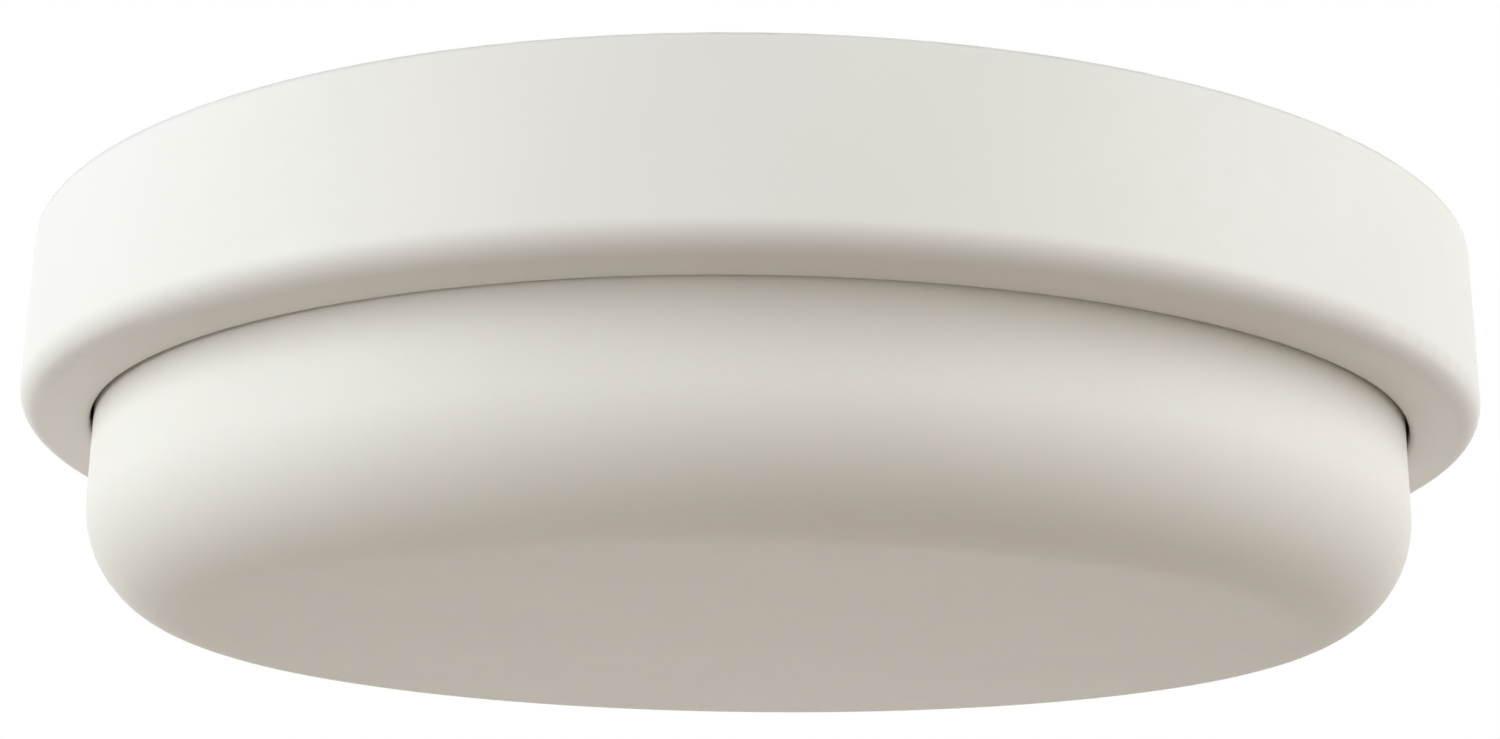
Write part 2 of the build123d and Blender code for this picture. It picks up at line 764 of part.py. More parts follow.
pieces = {
    "back_pan": back_pan.part,
    "ceiling_gasket": ceiling_gasket.part,
    "cable_grommet": cable_grommet.part,
    "fixing_seals": fixing_seals.part,
    "diffuser_seal": diffuser_seal.part,
    "spring_clips": spring_clips.part,
    "clip_screws": clip_screws.part,
    "gear_tray": gear_tray.part,
    "tray_screws": tray_screws.part,
    "led_board": led_board.part,
    "led_packages": led_packages.part,
    "board_screws": board_screws.part,
    "board_connector": board_connector.part,
    "wire_bush": wire_bush.part,
    "driver_case": driver_case.part,
    "driver_lid": driver_lid.part,
    "driver_screws": driver_screws.part,
    "driver_board": driver_board.part,
    "driver_transformer": driver_transformer.part,
    "driver_capacitors": driver_capacitors.part,
    "terminal_block": terminal_block.part,
    "terminal_contacts": terminal_contacts.part,
    "terminal_screws": terminal_screws.part,
    "release_button_live": release_buttons[0],
    "release_button_neutral": release_buttons[1],
    "release_button_earth": release_buttons[2],
    "live_wire": live_wire,
    "neutral_wire": neutral_wire,
    "earth_wire": earth_wire,
    "positive_lead": leads[0],
    "negative_lead": leads[1],
    "earth_tag": earth_tag.part,
    "earth_screw": earth_screw.part,
    "earth_nut": earth_nut.part,
    "trim_ring": trim_ring.part,
    "diffuser": diffuser.part,
}
os.makedirs("parts", exist_ok=True)
for name, piece in pieces.items():
    piece.label = name
    export_step(piece, f"parts/{name}.step")
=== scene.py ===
"""Looks of a round LED ceiling light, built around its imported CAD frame.

Metres. The ceiling is the plane z = 0, +Z is up, and the light hangs below it on the Z axis.
"""

import json
import math

import bmesh
import bpy
from mathutils import Matrix, Vector


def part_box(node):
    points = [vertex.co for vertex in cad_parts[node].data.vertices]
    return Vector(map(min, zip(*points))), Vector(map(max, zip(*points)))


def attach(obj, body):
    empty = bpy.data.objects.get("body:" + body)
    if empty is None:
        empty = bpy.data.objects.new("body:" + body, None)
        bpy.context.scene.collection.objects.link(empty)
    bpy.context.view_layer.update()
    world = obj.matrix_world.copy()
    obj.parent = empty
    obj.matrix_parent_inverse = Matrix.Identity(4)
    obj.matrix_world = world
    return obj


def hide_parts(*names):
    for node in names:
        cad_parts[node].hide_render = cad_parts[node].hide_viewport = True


MM = 0.001

# Camera, from a fit to the photograph's outlines
CAMERA_PLACE = Vector((0.0, -0.4540, -0.1394))
CAMERA_AIM = Vector((-0.0001, 0.0, -0.0119))
CAMERA_ROLL_DEGREES = 0.705
CAMERA_LENS_MM = 51.85
SENSOR_MM = 36.0
CAMERA_NEAR = 0.01

# Studio
FLOOR_LEVEL = -2.4
FLOOR_SIDE = 16.0
FLOOR_COLOUR = (0.59, 0.52, 0.45)
FLOOR_ROUGHNESS = 0.8
# The glow goes from its first to its second value between these two distances from the light
FLOOR_GLOW = (0.58, 1.0)
FLOOR_FADE = (3.0, 8.0)
WORLD_COLOUR = (1.0, 0.95, 0.88)
WORLD_STRENGTH = 0.49
LAMP_DISTANCE = 1.6
LAMP_SIDE = 1.2
LAMP_COLOUR = (0.93, 0.97, 1.0)
WINDOW_COLOUR = (0.88, 0.95, 1.0)
LAMPS = {
    "left_box": {"azimuth": -64, "elevation": 10, "power": 19.0, "colour": WINDOW_COLOUR},
    "right_box": {"azimuth": 65, "elevation": 19, "power": 16.7, "colour": LAMP_COLOUR},
    "low_box": {"azimuth": 180, "elevation": -45, "power": 4.7, "colour": LAMP_COLOUR},
}

# Screws
SCREW_SIDES = 32
DOME_STEPS = 8
DOME_POWER = 0.6
RECESS_ARM = 0.62
RECESS_HALF_WIDTH = 0.15
RECESS_DEPTH = 0.6
RECESS_TAPER = 0.5
THREAD_PITCH = 0.8 * MM
THREAD_DEPTH = 0.22
THREAD_STEPS = 4
POINT_LENGTH = 1.2 * MM
GOLDEN_TURN = math.radians(137.5)

# Light board
LED_CORNER = 0.25 * MM
LED_TOP_INSET = 0.12 * MM
LED_RIM = 0.42 * MM
LED_WELL = 0.16 * MM
LED_CROWN = 0.05 * MM
LED_SHOULDER = 0.7
PAD_LENGTH = 0.55 * MM
PAD_HEIGHT = 0.22 * MM
PAD_SHARE = 0.8
LAND_HALF_WIDTH = 3.0 * MM
LAND_HEIGHT = 0.07 * MM
LAND_STEPS = 8
FOOT_LENGTH = 1.6 * MM
FOOT_REACH = 1.2 * MM
FOOT_HEIGHT = 0.4 * MM
FOOT_SPREAD = 2.4 * MM
CONNECTOR_EDGE = 0.35 * MM
CONNECTOR_SLOT = (2.4 * MM, 1.8 * MM)
CONNECTOR_SLOT_DEPTH = 1.0 * MM
CONNECTOR_SLOT_SHIFT = 0.2
FUNNEL_DEPTH = 3.0 * MM
FUNNEL_MOUTH = 0.75 * MM
FUNNEL_FLARE = 1.35

# Soft seals
RING_SIDES = 240
GASKET_EDGE = 0.7 * MM
SEAL_EDGE = 0.3 * MM
SEAL_LIP = 0.9 * MM
SEAL_GROOVE = 0.8 * MM

# Meshes
WELD = 1e-6
LEVEL_DIGITS = 6
ROW_DIGITS = 4
CORNER_STEPS = 4
SHARP_ANGLE = math.radians(35)
WIRE_SHARP_ANGLE = math.radians(60)

# Materials
NOISE_RANGE = (0.3, 0.7)
STRIPE_LEAN = 0.95

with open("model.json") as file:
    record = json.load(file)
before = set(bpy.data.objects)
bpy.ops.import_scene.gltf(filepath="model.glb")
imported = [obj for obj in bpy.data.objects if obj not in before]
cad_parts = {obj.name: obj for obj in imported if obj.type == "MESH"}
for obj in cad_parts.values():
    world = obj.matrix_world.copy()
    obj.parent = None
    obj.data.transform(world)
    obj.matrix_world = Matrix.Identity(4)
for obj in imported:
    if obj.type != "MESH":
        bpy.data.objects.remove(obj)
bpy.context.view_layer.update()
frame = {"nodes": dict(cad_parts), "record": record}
nodes = frame["nodes"]
scene = bpy.context.scene
scene.view_settings.view_transform = "Standard"
slot_of = {part["node"]: part["material_slot"] for part in frame["record"]["subparts"]}
bodies = frame["record"]["behaviour"]["bodies"]
body_of = {node: body for body, members in bodies.items() for node in members}


# Materials


class Shader:
    """A Principled material with the few node chains that this scene repeats."""

    def __init__(self, name, colour, roughness, metallic=0.0, sockets=None):
        self.material = bpy.data.materials.new(name)
        self.material.use_nodes = True
        self.tree = self.material.node_tree
        self.bsdf = self.tree.nodes["Principled BSDF"]
        self.colour = colour
        self.roughness = roughness
        self.bsdf.inputs["Base Color"].default_value = (*colour, 1)
        self.bsdf.inputs["Roughness"].default_value = roughness
        self.bsdf.inputs["Metallic"].default_value = metallic
        for socket, value in (sockets or {}).items():
            self.bsdf.inputs[socket].default_value = value
        self.normal = None
        self.place = self.add("ShaderNodeTexCoord").outputs["Object"]

    def add(self, kind, **settings):
        node = self.tree.nodes.new(kind)
        for key, value in settings.items():
            setattr(node, key, value)
        return node

    def link(self, output, socket):
        self.tree.links.new(output, socket)

    def noise(self, size, detail=2.0, stretch=(1, 1, 1)):
        """Noise between 0 and 1 whose features are about that size, in metres."""
        mapping = self.add("ShaderNodeMapping")
        mapping.inputs["Scale"].default_value = [s / size for s in stretch]
        texture = self.add("ShaderNodeTexNoise")
        texture.inputs["Scale"].default_value = 1.0
        texture.inputs["Detail"].default_value = detail
        self.link(self.place, mapping.inputs["Vector"])
        self.link(mapping.outputs["Vector"], texture.inputs["Vector"])
        return texture.outputs["Fac"]

    def cells(self, size):
        """Distance to the nearest point of a scatter about that size apart."""
        texture = self.add("ShaderNodeTexVoronoi")
        texture.inputs["Scale"].default_value = 1 / size
        self.link(self.place, texture.inputs["Vector"])
        return texture.outputs["Distance"]

    def remap(self, value, source, target, curve="LINEAR"):
        """Carries a value from one range over to another."""
        ramp = self.add("ShaderNodeMapRange", interpolation_type=curve)
        ramp.inputs["From Min"].default_value, ramp.inputs["From Max"].default_value = source
        ramp.inputs["To Min"].default_value, ramp.inputs["To Max"].default_value = target
        self.link(value, ramp.inputs["Value"])
        return ramp.outputs["Result"]

    def mottle(self, size, share):
        """The colour wanders by that share of itself."""
        low = [c * (1 - share) for c in self.colour]
        high = [min(1.0, c * (1 + share)) for c in self.colour]
        mix = self.add("ShaderNodeMix", data_type="RGBA")
        mix.inputs["A"].default_value = (*low, 1)
        mix.inputs["B"].default_value = (*high, 1)
        self.link(self.remap(self.noise(size, detail=3.0), NOISE_RANGE, (0.0, 1.0)), mix.inputs["Factor"])
        self.link(mix.outputs["Result"], self.bsdf.inputs["Base Color"])
        return self

    def haze(self, size, spread):
        """The gloss wanders by that much."""
        span = (self.roughness - spread, self.roughness + spread)
        self.link(self.remap(self.noise(size), NOISE_RANGE, span), self.bsdf.inputs["Roughness"])
        return self

    def soften(self, radius):
        """Shades sharp edges as if they were rounded by that radius."""
        bevel = self.add("ShaderNodeBevel")
        bevel.inputs["Radius"].default_value = radius
        self.normal = bevel.outputs["Normal"]
        self.link(self.normal, self.bsdf.inputs["Normal"])
        return self

    def relief(self, height, depth):
        """Bumps the surface by a height field between 0 and 1, depth metres from low to high."""
        bump = self.add("ShaderNodeBump")
        bump.inputs["Strength"].default_value = 1.0
        bump.inputs["Distance"].default_value = depth
        self.link(height, bump.inputs["Height"])
        if self.normal:
            self.link(self.normal, bump.inputs["Normal"])
        self.normal = bump.outputs["Normal"]
        self.link(self.normal, self.bsdf.inputs["Normal"])
        return self


SATIN = {"Specular IOR Level": 0.35}


def moulded(name, colour, roughness, edge=0.3 * MM, sockets=None):
    """Moulded plastic with a fine spark-eroded grain and a slow flow mark."""
    made = Shader(name, colour, roughness, sockets=sockets)
    made.soften(edge).mottle(size=40 * MM, share=0.012).haze(size=3 * MM, spread=0.04)
    made.relief(made.noise(size=60 * MM, detail=1.0), depth=0.10 * MM)
    made.relief(made.noise(size=0.35 * MM), depth=0.012 * MM)
    return made.material


def rubber(name, colour):
    made = Shader(name, colour, roughness=0.72, sockets=SATIN)
    made.mottle(size=4 * MM, share=0.12).haze(size=2 * MM, spread=0.08)
    made.relief(made.noise(size=0.25 * MM), depth=0.02 * MM)
    return made.material


def foam(name, colour):
    made = Shader(name, colour, roughness=0.95, sockets={"Specular IOR Level": 0.2})
    made.mottle(size=1.5 * MM, share=0.25)
    made.relief(made.cells(size=0.9 * MM), depth=0.25 * MM)
    return made.material


def bright_metal(name, colour, roughness, stretch=(1, 1, 1)):
    """Bare or plated metal; the stretch squeezes its fine marks along an axis, as brushing does."""
    made = Shader(name, colour, roughness, metallic=1.0)
    made.soften(0.12 * MM).mottle(size=3 * MM, share=0.06).haze(size=1.5 * MM, spread=0.06)
    made.relief(made.noise(size=0.12 * MM, detail=1.0, stretch=stretch), depth=0.004 * MM)
    return made.material


def powder_coat(name, colour):
    """Stoved paint with the faint ripple that powder leaves."""
    made = Shader(name, colour, roughness=0.45)
    made.soften(0.25 * MM).mottle(size=25 * MM, share=0.015).haze(size=4 * MM, spread=0.05)
    made.relief(made.noise(size=1.1 * MM, detail=1.0), depth=0.03 * MM)
    return made.material


def insulation(name, colour):
    made = Shader(name, colour, roughness=0.42)
    made.mottle(size=3 * MM, share=0.06).haze(size=1 * MM, spread=0.06)
    made.relief(made.noise(size=0.6 * MM), depth=0.01 * MM)
    return made.material


def phosphor(name, colour):
    """Silicone filled with yellow grains."""
    scatter = {"Subsurface Weight": 0.3, "Subsurface Scale": 0.3 * MM}
    made = Shader(name, colour, roughness=0.3, sockets=scatter)
    made.mottle(size=0.12 * MM, share=0.12).haze(size=0.3 * MM, spread=0.05)
    made.relief(made.noise(size=0.08 * MM), depth=0.006 * MM)
    return made.material


def banded_insulation(name, colour, band_colour):
    """Two-coloured insulation: a stripe of the first colour runs along the top and bottom of the wire."""
    made = Shader(name, colour, roughness=0.42)
    split = made.add("ShaderNodeSeparateXYZ")
    lean = made.add("ShaderNodeMath", operation="ABSOLUTE")
    band = made.add("ShaderNodeMath", operation="LESS_THAN")
    band.inputs[1].default_value = STRIPE_LEAN
    mix = made.add("ShaderNodeMix", data_type="RGBA")
    mix.inputs["A"].default_value = (*colour, 1)
    mix.inputs["B"].default_value = (*band_colour, 1)
    made.link(made.add("ShaderNodeTexCoord").outputs["Normal"], split.inputs["Vector"])
    made.link(split.outputs["Z"], lean.inputs[0])
    made.link(lean.outputs["Value"], band.inputs[0])
    made.link(band.outputs["Value"], mix.inputs["Factor"])
    made.link(mix.outputs["Result"], made.bsdf.inputs["Base Color"])
    made.haze(size=1 * MM, spread=0.06).relief(made.noise(size=0.6 * MM), depth=0.01 * MM)
    return made.material


OPAL_SCATTER = {"Specular IOR Level": 0.25, "Subsurface Weight": 0.15, "Subsurface Scale": 3 * MM}
RECIPES = {
    "trim_plastic": (
        moulded, {"colour": (0.845, 0.83, 0.80), "roughness": 0.55, "edge": 1.5 * MM, "sockets": SATIN}
    ),
    "opal": (moulded, {"colour": (0.84, 0.82, 0.775), "roughness": 0.6, "sockets": OPAL_SCATTER}),
    "pan_plastic": (moulded, {"colour": (0.80, 0.79, 0.765), "roughness": 0.5}),
    "foam": (foam, {"colour": (0.075, 0.075, 0.08)}),
    "rubber": (rubber, {"colour": (0.03, 0.03, 0.031)}),
    "silicone": (rubber, {"colour": (0.62, 0.61, 0.58)}),
    "spring_steel": (bright_metal, {"colour": (0.60, 0.61, 0.63), "roughness": 0.28, "stretch": (1, 1, 8)}),
    "zinc": (bright_metal, {"colour": (0.63, 0.64, 0.66), "roughness": 0.32}),
    "tray_paint": (powder_coat, {"colour": (0.82, 0.82, 0.80)}),
    "board_mask": (powder_coat, {"colour": (0.85, 0.85, 0.82)}),
    "led": (moulded, {"colour": (0.84, 0.83, 0.78), "roughness": 0.4}),
    "phosphor": (phosphor, {"colour": (0.82, 0.62, 0.16)}),
    "tin": (bright_metal, {"colour": (0.66, 0.66, 0.65), "roughness": 0.3}),
    "connector": (moulded, {"colour": (0.72, 0.69, 0.60), "roughness": 0.45}),
    "driver_plastic": (moulded, {"colour": (0.72, 0.72, 0.70), "roughness": 0.5}),
    "circuit": (moulded, {"colour": (0.02, 0.11, 0.035), "roughness": 0.35}),
    "transformer": (moulded, {"colour": (0.48, 0.33, 0.05), "roughness": 0.4}),
    "capacitor": (moulded, {"colour": (0.05, 0.06, 0.09), "roughness": 0.35}),
    "terminal": (moulded, {"colour": (0.66, 0.66, 0.63), "roughness": 0.42}),
    "brass": (bright_metal, {"colour": (0.76, 0.56, 0.24), "roughness": 0.3}),
    "button": (moulded, {"colour": (0.20, 0.205, 0.215), "roughness": 0.45}),
    "wire_live": (insulation, {"colour": (0.10, 0.035, 0.012)}),
    "wire_neutral": (insulation, {"colour": (0.012, 0.05, 0.30)}),
    "wire_earth": (banded_insulation, {"colour": (0.04, 0.22, 0.02), "band_colour": (0.72, 0.55, 0.02)}),
    "wire_positive": (insulation, {"colour": (0.42, 0.012, 0.01)}),
    "wire_negative": (insulation, {"colour": (0.012, 0.012, 0.013)}),
}
LOOKS = {name: make(name, **recipe) for name, (make, recipe) in RECIPES.items()}


def even_shading(node, sharp_angle):
    """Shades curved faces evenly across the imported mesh's seams.

    Edges that are sharper than the angle stay sharp.
    """
    node.data.shade_smooth()
    weld = node.modifiers.new("weld", "WELD")
    weld.merge_threshold = WELD
    split = node.modifiers.new("split", "EDGE_SPLIT")
    split.split_angle = sharp_angle
    split.use_edge_sharp = False
    normals = node.modifiers.new("normals", "WEIGHTED_NORMAL")
    normals.mode = "FACE_AREA_WITH_ANGLE"


def dress_nodes():
    """Each CAD node takes the look of its slot in the record."""
    for name, slot in slot_of.items():
        nodes[name].material_slots[0].material = LOOKS[slot]
        round_wire = name.endswith(("_wire", "_lead"))
        even_shading(nodes[name], WIRE_SHARP_ANGLE if round_wire else SHARP_ANGLE)


# Mesh helpers


def solids_of(node):
    """The corners of each separate solid in a CAD node."""
    work = bmesh.new()
    work.from_mesh(nodes[node].data)
    bmesh.ops.remove_doubles(work, verts=work.verts, dist=WELD)
    found = []
    for first in work.verts:
        if first.tag:
            continue
        first.tag = True
        reached = [first]
        for corner in reached:
            for edge in corner.link_edges:
                other = edge.other_vert(corner)
                if not other.tag:
                    other.tag = True
                    reached.append(other)
        found.append([corner.co.copy() for corner in reached])
    work.free()
    return found


def box_of(corners):
    low = Vector(min(corner[axis] for corner in corners) for axis in range(3))
    high = Vector(max(corner[axis] for corner in corners) for axis in range(3))
    return low, high


def circle(radius, height, sides):
    """A ring of places around the Z axis at one height; the radius may be a function of the angle."""
    ring = []
    for side in range(sides):
        turn = math.tau * side / sides
        reach = radius(turn) if callable(radius) else radius
        ring.append(Vector((reach * math.cos(turn), reach * math.sin(turn), height)))
    return ring


def rounded_rectangle(width, length, corner, height, centre=(0.0, 0.0)):
    ring = []
    for quarter, (side_x, side_y) in enumerate(((1, 1), (-1, 1), (-1, -1), (1, -1))):
        for step in range(CORNER_STEPS + 1):
            turn = math.radians(90) * (quarter + step / CORNER_STEPS)
            x = side_x * (width / 2 - corner) + corner * math.cos(turn)
            y = side_y * (length / 2 - corner) + corner * math.sin(turn)
            ring.append(Vector((centre[0] + x, centre[1] + y, height)))
    return ring


def loft(work, rings, looks=(0,), closed=False):
    """Skins rings that have equally many places, with end caps or closed on itself.

    The looks are material numbers, one for each band; the last one goes on to the end.
    """
    rows = [[work.verts.new(place) for place in ring] for ring in rings]
    bands = list(zip(rows, rows[1:]))
    if closed:
        bands.append((rows[-1], rows[0]))
    faces = []
    for band, (row, following) in enumerate(bands):
        for index, corner in enumerate(row):
            face = work.faces.new((row[index - 1], corner, following[index], following[index - 1]))
            face.material_index = looks[min(band, len(looks) - 1)]
            faces.append(face)
    if not closed:
        for row, look in ((rows[0], looks[0]), (rows[-1], looks[-1])):
            face = work.faces.new(row)
            face.material_index = look
            faces.append(face)
    bmesh.ops.recalc_face_normals(work, faces=faces)


def as_mesh(work, name):
    mesh = bpy.data.meshes.new(name)
    work.to_mesh(mesh)
    work.free()
    return mesh


def cut(mesh, tools):
    """A mesh with the tools' closed forms taken out of it."""
    body = bpy.data.objects.new("body", mesh)
    tool = bpy.data.objects.new("tool", tools)
    for item in (body, tool):
        scene.collection.objects.link(item)
    boolean = body.modifiers.new("cut", "BOOLEAN")
    boolean.operation = "DIFFERENCE"
    boolean.solver = "EXACT"
    boolean.object = tool
    bpy.context.view_layer.update()
    shaped = body.evaluated_get(bpy.context.evaluated_depsgraph_get())
    result = bpy.data.meshes.new_from_object(shaped)
    for item in (body, tool):
        bpy.data.objects.remove(item)
    return result


def settle(mesh, name, node, looks, replace=True):
    """Puts a finished mesh in the scene on the body of a CAD node, in whose place or on which it sits."""
    mesh.name = name
    for look in looks:
        mesh.materials.append(LOOKS[look])
    mesh.shade_smooth()
    mesh.set_sharp_from_angle(angle=SHARP_ANGLE)
    piece = bpy.data.objects.new(name, mesh)
    scene.collection.objects.link(piece)
    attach(piece, body_of[node])
    if replace:
        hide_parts(node)
    return piece


# Screws


def screw_mesh(head_radius, head_height, shaft_radius, shaft_length):
    """A cross-recessed pan head below z = 0 and a threaded, pointed shaft above it."""

    def thread(height):
        def reach(turn):
            phase = (height / THREAD_PITCH - turn / math.tau) % 1
            return shaft_radius * (1 - THREAD_DEPTH * abs(2 * phase - 1))

        return reach

    rings = []
    for step in range(1, DOME_STEPS):
        turn = math.radians(90) * step / DOME_STEPS
        radius = head_radius * math.sin(turn) ** DOME_POWER
        rings.append(circle(radius, -head_height * math.cos(turn) ** DOME_POWER, SCREW_SIDES))
    rings.append(circle(head_radius, 0, SCREW_SIDES))
    straight = shaft_length - POINT_LENGTH
    count = max(1, round(straight / THREAD_PITCH * THREAD_STEPS))
    for step in range(count + 1):
        height = straight * step / count
        rings.append(circle(thread(height), height, SCREW_SIDES))
    rings.append(circle(shaft_radius * THREAD_DEPTH, shaft_length, SCREW_SIDES))
    solid = bmesh.new()
    loft(solid, rings)
    recess = bmesh.new()
    loft(recess, [cross(head_radius, 1, -2 * head_height), cross(head_radius, 1, -head_height),
                  cross(head_radius, RECESS_TAPER, head_height * (RECESS_DEPTH - 1))])
    return cut(as_mesh(solid, "screw"), as_mesh(recess, "recess"))


def cross(head_radius, share, height):
    """The twelve corners of a cross recess at one height."""
    arm = head_radius * RECESS_ARM * share
    half = head_radius * RECESS_HALF_WIDTH * (1 + share) / 2
    quarter = [(arm, -half), (arm, half), (half, half)]
    ring = []
    for turn in range(4):
        spin = Matrix.Rotation(math.radians(90) * turn, 3, "Z")
        ring += [spin @ Vector((x, y, height)) for x, y in quarter]
    return ring


def make_screws(node):
    """Detailed screws in the places and sizes of a CAD node's plain ones, each stopped at its own angle."""
    work = bmesh.new()
    for index, corners in enumerate(solids_of(node)):
        low, high = box_of(corners)
        seat = sorted({round(corner.z, LEVEL_DIGITS) for corner in corners})[1]
        axis = (low + high) / 2
        shaft_radius = max((corner - axis).to_2d().length for corner in corners if corner.z > high.z - WELD)
        screw = screw_mesh((high.x - low.x) / 2, seat - low.z, shaft_radius, high.z - seat)
        place = Matrix.Translation((axis.x, axis.y, seat))
        screw.transform(place @ Matrix.Rotation(index * GOLDEN_TURN, 4, "Z"))
        work.from_mesh(screw)
        bpy.data.meshes.remove(screw)
    settle(as_mesh(work, node), node + "_detailed", node, [slot_of[node]])


# Light board


def add_led(work, width, length, height, place):
    """A moulded package with a phosphor well, and a solder fillet at each end.

    It is built with z pointing away from the board.
    """
    case, window, solder = range(3)
    led = bmesh.new()
    rim = 2 * LED_RIM
    inset = 2 * LED_TOP_INSET
    rings = [
        rounded_rectangle(width, length, LED_CORNER, 0),
        rounded_rectangle(width, length, LED_CORNER, LED_SHOULDER * height),
        rounded_rectangle(width - inset, length - inset, LED_CORNER, height),
        rounded_rectangle(width - rim, length - rim, LED_CORNER, height),
        rounded_rectangle(width - rim - inset, length - rim - inset, LED_CORNER, height - LED_WELL),
        rounded_rectangle((width - rim) / 2, (length - rim) / 2, LED_CORNER, height - LED_WELL + LED_CROWN),
    ]
    loft(led, rings, looks=(case, case, case, case, window))
    pad_width = PAD_SHARE * width
    tip = PAD_LENGTH / 2
    for side in (-1, 1):
        foot = (0, side * (length + PAD_LENGTH) / 2)
        shoulder = (0, side * (length + tip) / 2)
        loft(led, [
            rounded_rectangle(pad_width, PAD_LENGTH, PAD_LENGTH / 4, 0, foot),
            rounded_rectangle(pad_width - tip, tip, tip / 4, PAD_HEIGHT, shoulder),
        ], looks=(solder,))
    led.transform(place)
    package = as_mesh(led, "package")
    work.from_mesh(package)
    bpy.data.meshes.remove(package)


def make_leds():
    """The LED packages, and the copper lands that join each ring of them under the board's white mask."""
    board_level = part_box("led_board")[0].z
    leds = bmesh.new()
    rows = {}
    for corners in solids_of("led_packages"):
        low, high = box_of(corners)
        middle = (low + high) / 2
        turn = math.atan2(middle.y, middle.x)
        spin = Matrix.Rotation(-turn, 3, "Z")
        flat_low, flat_high = box_of([spin @ corner for corner in corners])
        width, length, height = flat_high - flat_low
        hang = Matrix.Rotation(math.pi, 4, "X")
        place = Matrix.Translation((middle.x, middle.y, board_level)) @ Matrix.Rotation(turn, 4, "Z") @ hang
        add_led(leds, width, length, height, place)
        rows.setdefault(round(middle.to_2d().length, ROW_DIGITS), []).append((turn, length))
    settle(as_mesh(leds, "leds"), "led_packages_detailed", "led_packages", ["led", "phosphor", "tin"])
    lands = bmesh.new()
    for radius, places in rows.items():
        pitch = math.tau / len(places)
        half_led = places[0][1] / 2 / radius
        for turn, _ in sorted(places):
            rings = []
            for edge, level in ((0, board_level), (LAND_HEIGHT, board_level - LAND_HEIGHT)):
                start = turn + half_led + edge / radius
                span = pitch - 2 * (half_led + edge / radius)
                turns = [start + span * step / LAND_STEPS for step in range(LAND_STEPS + 1)]
                outer = radius + LAND_HALF_WIDTH - edge
                inner = radius - LAND_HALF_WIDTH + edge
                there = [Vector((outer * math.cos(a), outer * math.sin(a), level)) for a in turns]
                back = [Vector((inner * math.cos(a), inner * math.sin(a), level)) for a in reversed(turns)]
                rings.append(there + back)
            loft(lands, rings)
    settle(as_mesh(lands, "lands"), "board_lands", "led_board", ["board_mask"], replace=False)


def make_connector():
    """The lead connector, with flared wire entries, release slots and soldered feet."""
    case, solder = range(2)
    low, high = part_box("board_connector")
    middle = (low + high) / 2
    width, length, _ = high - low
    centre = (middle.x, middle.y)
    solid = bmesh.new()
    loft(solid, [
        rounded_rectangle(width, length, CONNECTOR_EDGE, high.z, centre),
        rounded_rectangle(width, length, CONNECTOR_EDGE, low.z + CONNECTOR_EDGE, centre),
        rounded_rectangle(width - CONNECTOR_EDGE, length - CONNECTOR_EDGE, CONNECTOR_EDGE, low.z, centre),
    ], looks=(case,))
    tools = bmesh.new()
    for lead in ("positive_lead", "negative_lead"):
        places = [vertex.co for vertex in nodes[lead].data.vertices]
        lead_low, lead_high = box_of([place for place in places if place.x > low.x - FUNNEL_DEPTH])
        entry_y = (lead_low.y + lead_high.y) / 2
        entry_z = (lead_low.z + lead_high.z) / 2
        bore = (lead_high.y - lead_low.y) / 2 * FUNNEL_FLARE
        funnel = []
        for reach, depth in ((bore * FUNNEL_FLARE, -WELD), (bore, FUNNEL_MOUTH), (bore, FUNNEL_DEPTH)):
            ring = circle(reach, 0, SCREW_SIDES)
            funnel.append([Vector((low.x + depth, entry_y + place.x, entry_z + place.y)) for place in ring])
        loft(tools, funnel)
        slot_centre = (middle.x + CONNECTOR_SLOT_SHIFT * width, entry_y)
        slot = []
        for level in (low.z - CONNECTOR_EDGE, low.z + CONNECTOR_SLOT_DEPTH):
            slot.append(rounded_rectangle(*CONNECTOR_SLOT, CONNECTOR_EDGE, level, slot_centre))
        loft(tools, slot)
    body = cut(as_mesh(solid, "connector"), as_mesh(tools, "connector_tools"))
    work = bmesh.new()
    work.from_mesh(body)
    bpy.data.meshes.remove(body)
    foot_levels = ((0, 0), (0, FOOT_HEIGHT / 2), (CONNECTOR_EDGE, FOOT_HEIGHT))
    for side in (-1, 1):
        for spread in (-FOOT_SPREAD, FOOT_SPREAD):
            foot = (middle.x + spread, middle.y + side * (length + FOOT_REACH) / 2)
            rings = []
            for inset, drop in foot_levels:
                size = (FOOT_LENGTH - inset, FOOT_REACH - inset)
                rings.append(rounded_rectangle(*size, CONNECTOR_EDGE, high.z - drop, foot))
            loft(work, rings, looks=(solder,))
    settle(as_mesh(work, "connector"), "board_connector_detailed", "board_connector", ["connector", "tin"])


# Soft seals


def turned_ring(profile):
    """A closed profile of (radius, height) places turned around the Z axis."""
    work = bmesh.new()
    loft(work, [circle(radius, height, RING_SIDES) for radius, height in profile], closed=True)
    return work


def ring_radii(node):
    """The inner and outer radius of a ring around the Z axis."""
    reaches = [vertex.co.to_2d().length for vertex in nodes[node].data.vertices]
    return min(reaches), max(reaches)


def make_gasket():
    """Foam strip with rounded edges."""
    low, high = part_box("ceiling_gasket")
    inner, outer = ring_radii("ceiling_gasket")
    centre = ((inner + outer) / 2, (low.z + high.z) / 2)
    section = rounded_rectangle(outer - inner, high.z - low.z, GASKET_EDGE, 0, centre)
    ring = turned_ring([(place.x, place.y) for place in section])
    gasket = settle(as_mesh(ring, "gasket"), "ceiling_gasket_foam", "ceiling_gasket", ["foam"])


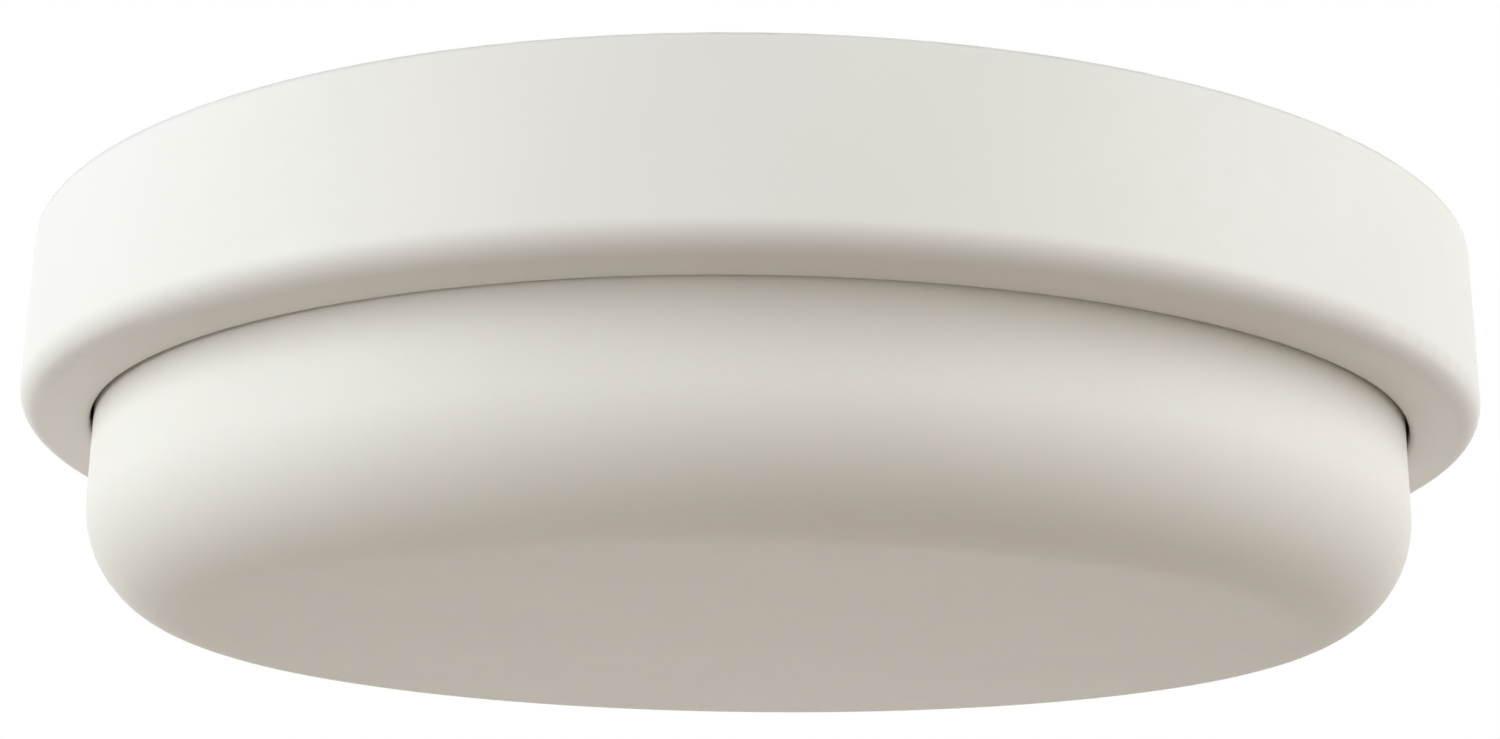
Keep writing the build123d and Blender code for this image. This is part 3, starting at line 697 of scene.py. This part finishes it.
def make_seal():
    """Silicone ring with two lips either side of a groove, which the diffuser's rim closes on."""
    low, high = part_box("diffuser_seal")
    inner, outer = ring_radii("diffuser_seal")
    half = [(SEAL_EDGE, low.z), (SEAL_LIP, low.z), (SEAL_LIP + SEAL_GROOVE, low.z + SEAL_GROOVE)]
    profile = [(inner, high.z), (inner, low.z + SEAL_EDGE)]
    profile += [(inner + step, level) for step, level in half]
    profile += [(outer - step, level) for step, level in reversed(half)]
    profile += [(outer, low.z + SEAL_EDGE), (outer, high.z)]
    settle(as_mesh(turned_ring(profile), "seal"), "diffuser_seal_lipped", "diffuser_seal", ["silicone"])


# Studio


def shown(tree):
    """A socket that is 1 for what the camera sees, directly, mirrored or through a clear piece."""
    path = tree.nodes.new("ShaderNodeLightPath")
    seen = path.outputs["Is Camera Ray"]
    for ray in ("Is Glossy Ray", "Is Transmission Ray"):
        either = tree.nodes.new("ShaderNodeMath")
        either.operation = "MAXIMUM"
        tree.links.new(seen, either.inputs[0])
        tree.links.new(path.outputs[ray], either.inputs[1])
        seen = either.outputs["Value"]
    return seen


def make_floor():
    """A pale floor that gives a warm bounce, and goes over into the white room with distance."""
    half = FLOOR_SIDE / 2
    mesh = bpy.data.meshes.new("floor")
    corners = [(-half, -half), (half, -half), (half, half), (-half, half)]
    mesh.from_pydata([(x, y, FLOOR_LEVEL) for x, y in corners], [], [(0, 1, 2, 3)])
    floor = bpy.data.objects.new("floor", mesh)
    scene.collection.objects.link(floor)
    glow_colour = {"Emission Color": (*LAMP_COLOUR, 1)}
    paint = Shader("floor_paint", FLOOR_COLOUR, FLOOR_ROUGHNESS, sockets=glow_colour)
    reach = paint.add("ShaderNodeVectorMath", operation="LENGTH")
    paint.link(paint.place, reach.inputs[0])
    fade = paint.remap(reach.outputs["Value"], FLOOR_FADE, FLOOR_GLOW, curve="SMOOTHSTEP")
    glow = paint.add("ShaderNodeMath", operation="MULTIPLY")
    paint.link(shown(paint.tree), glow.inputs[0])
    paint.link(fade, glow.inputs[1])
    paint.link(glow.outputs["Value"], paint.bsdf.inputs["Emission Strength"])
    mesh.materials.append(paint.material)


def make_world():
    """Even studio light; the camera, reflections and clear pieces see a white room."""
    world = bpy.data.worlds.new("studio")
    world.use_nodes = True
    scene.world = world
    tree = world.node_tree
    tree.nodes.clear()
    light = tree.nodes.new("ShaderNodeBackground")
    light.inputs["Color"].default_value = (*WORLD_COLOUR, 1)
    light.inputs["Strength"].default_value = WORLD_STRENGTH
    white = tree.nodes.new("ShaderNodeBackground")
    white.inputs["Color"].default_value = (1, 1, 1, 1)
    white.inputs["Strength"].default_value = 1.0
    mix = tree.nodes.new("ShaderNodeMixShader")
    tree.links.new(shown(tree), mix.inputs["Fac"])
    tree.links.new(light.outputs["Background"], mix.inputs[1])
    tree.links.new(white.outputs["Background"], mix.inputs[2])
    output = tree.nodes.new("ShaderNodeOutputWorld")
    tree.links.new(mix.outputs["Shader"], output.inputs["Surface"])


def soft_box(name, azimuth, elevation, power, colour):
    """A square lamp aimed at the light, at an azimuth from the camera's side and an elevation in degrees."""
    turn = math.radians(azimuth)
    rise = math.radians(elevation)
    away = Vector((math.sin(turn) * math.cos(rise), -math.cos(turn) * math.cos(rise), math.sin(rise)))
    lamp = bpy.data.lights.new(name, "AREA")
    lamp.shape = "SQUARE"
    lamp.size = LAMP_SIDE
    lamp.energy = power
    lamp.color = colour
    box = bpy.data.objects.new(name, lamp)
    box.location = CAMERA_AIM + away * LAMP_DISTANCE
    box.rotation_euler = (-away).to_track_quat("-Z", "Y").to_euler()
    box.visible_camera = False
    scene.collection.objects.link(box)


def make_camera():
    camera = bpy.data.objects.new("camera", bpy.data.cameras.new("camera"))
    camera.data.lens = CAMERA_LENS_MM
    camera.data.sensor_width = SENSOR_MM
    camera.data.clip_start = CAMERA_NEAR
    turn = (CAMERA_AIM - CAMERA_PLACE).to_track_quat("-Z", "Y").to_matrix().to_4x4()
    roll = Matrix.Rotation(math.radians(CAMERA_ROLL_DEGREES), 4, "Z")
    camera.matrix_world = Matrix.Translation(CAMERA_PLACE) @ turn @ roll
    scene.collection.objects.link(camera)
    scene.camera = camera


dress_nodes()
for node_name in nodes:
    if node_name.endswith(("_screw", "_screws")):
        make_screws(node_name)
make_leds()
make_connector()
make_gasket()
make_seal()
make_floor()
make_world()
for lamp_name, lamp_facts in LAMPS.items():
    soft_box(lamp_name, **lamp_facts)
make_camera()
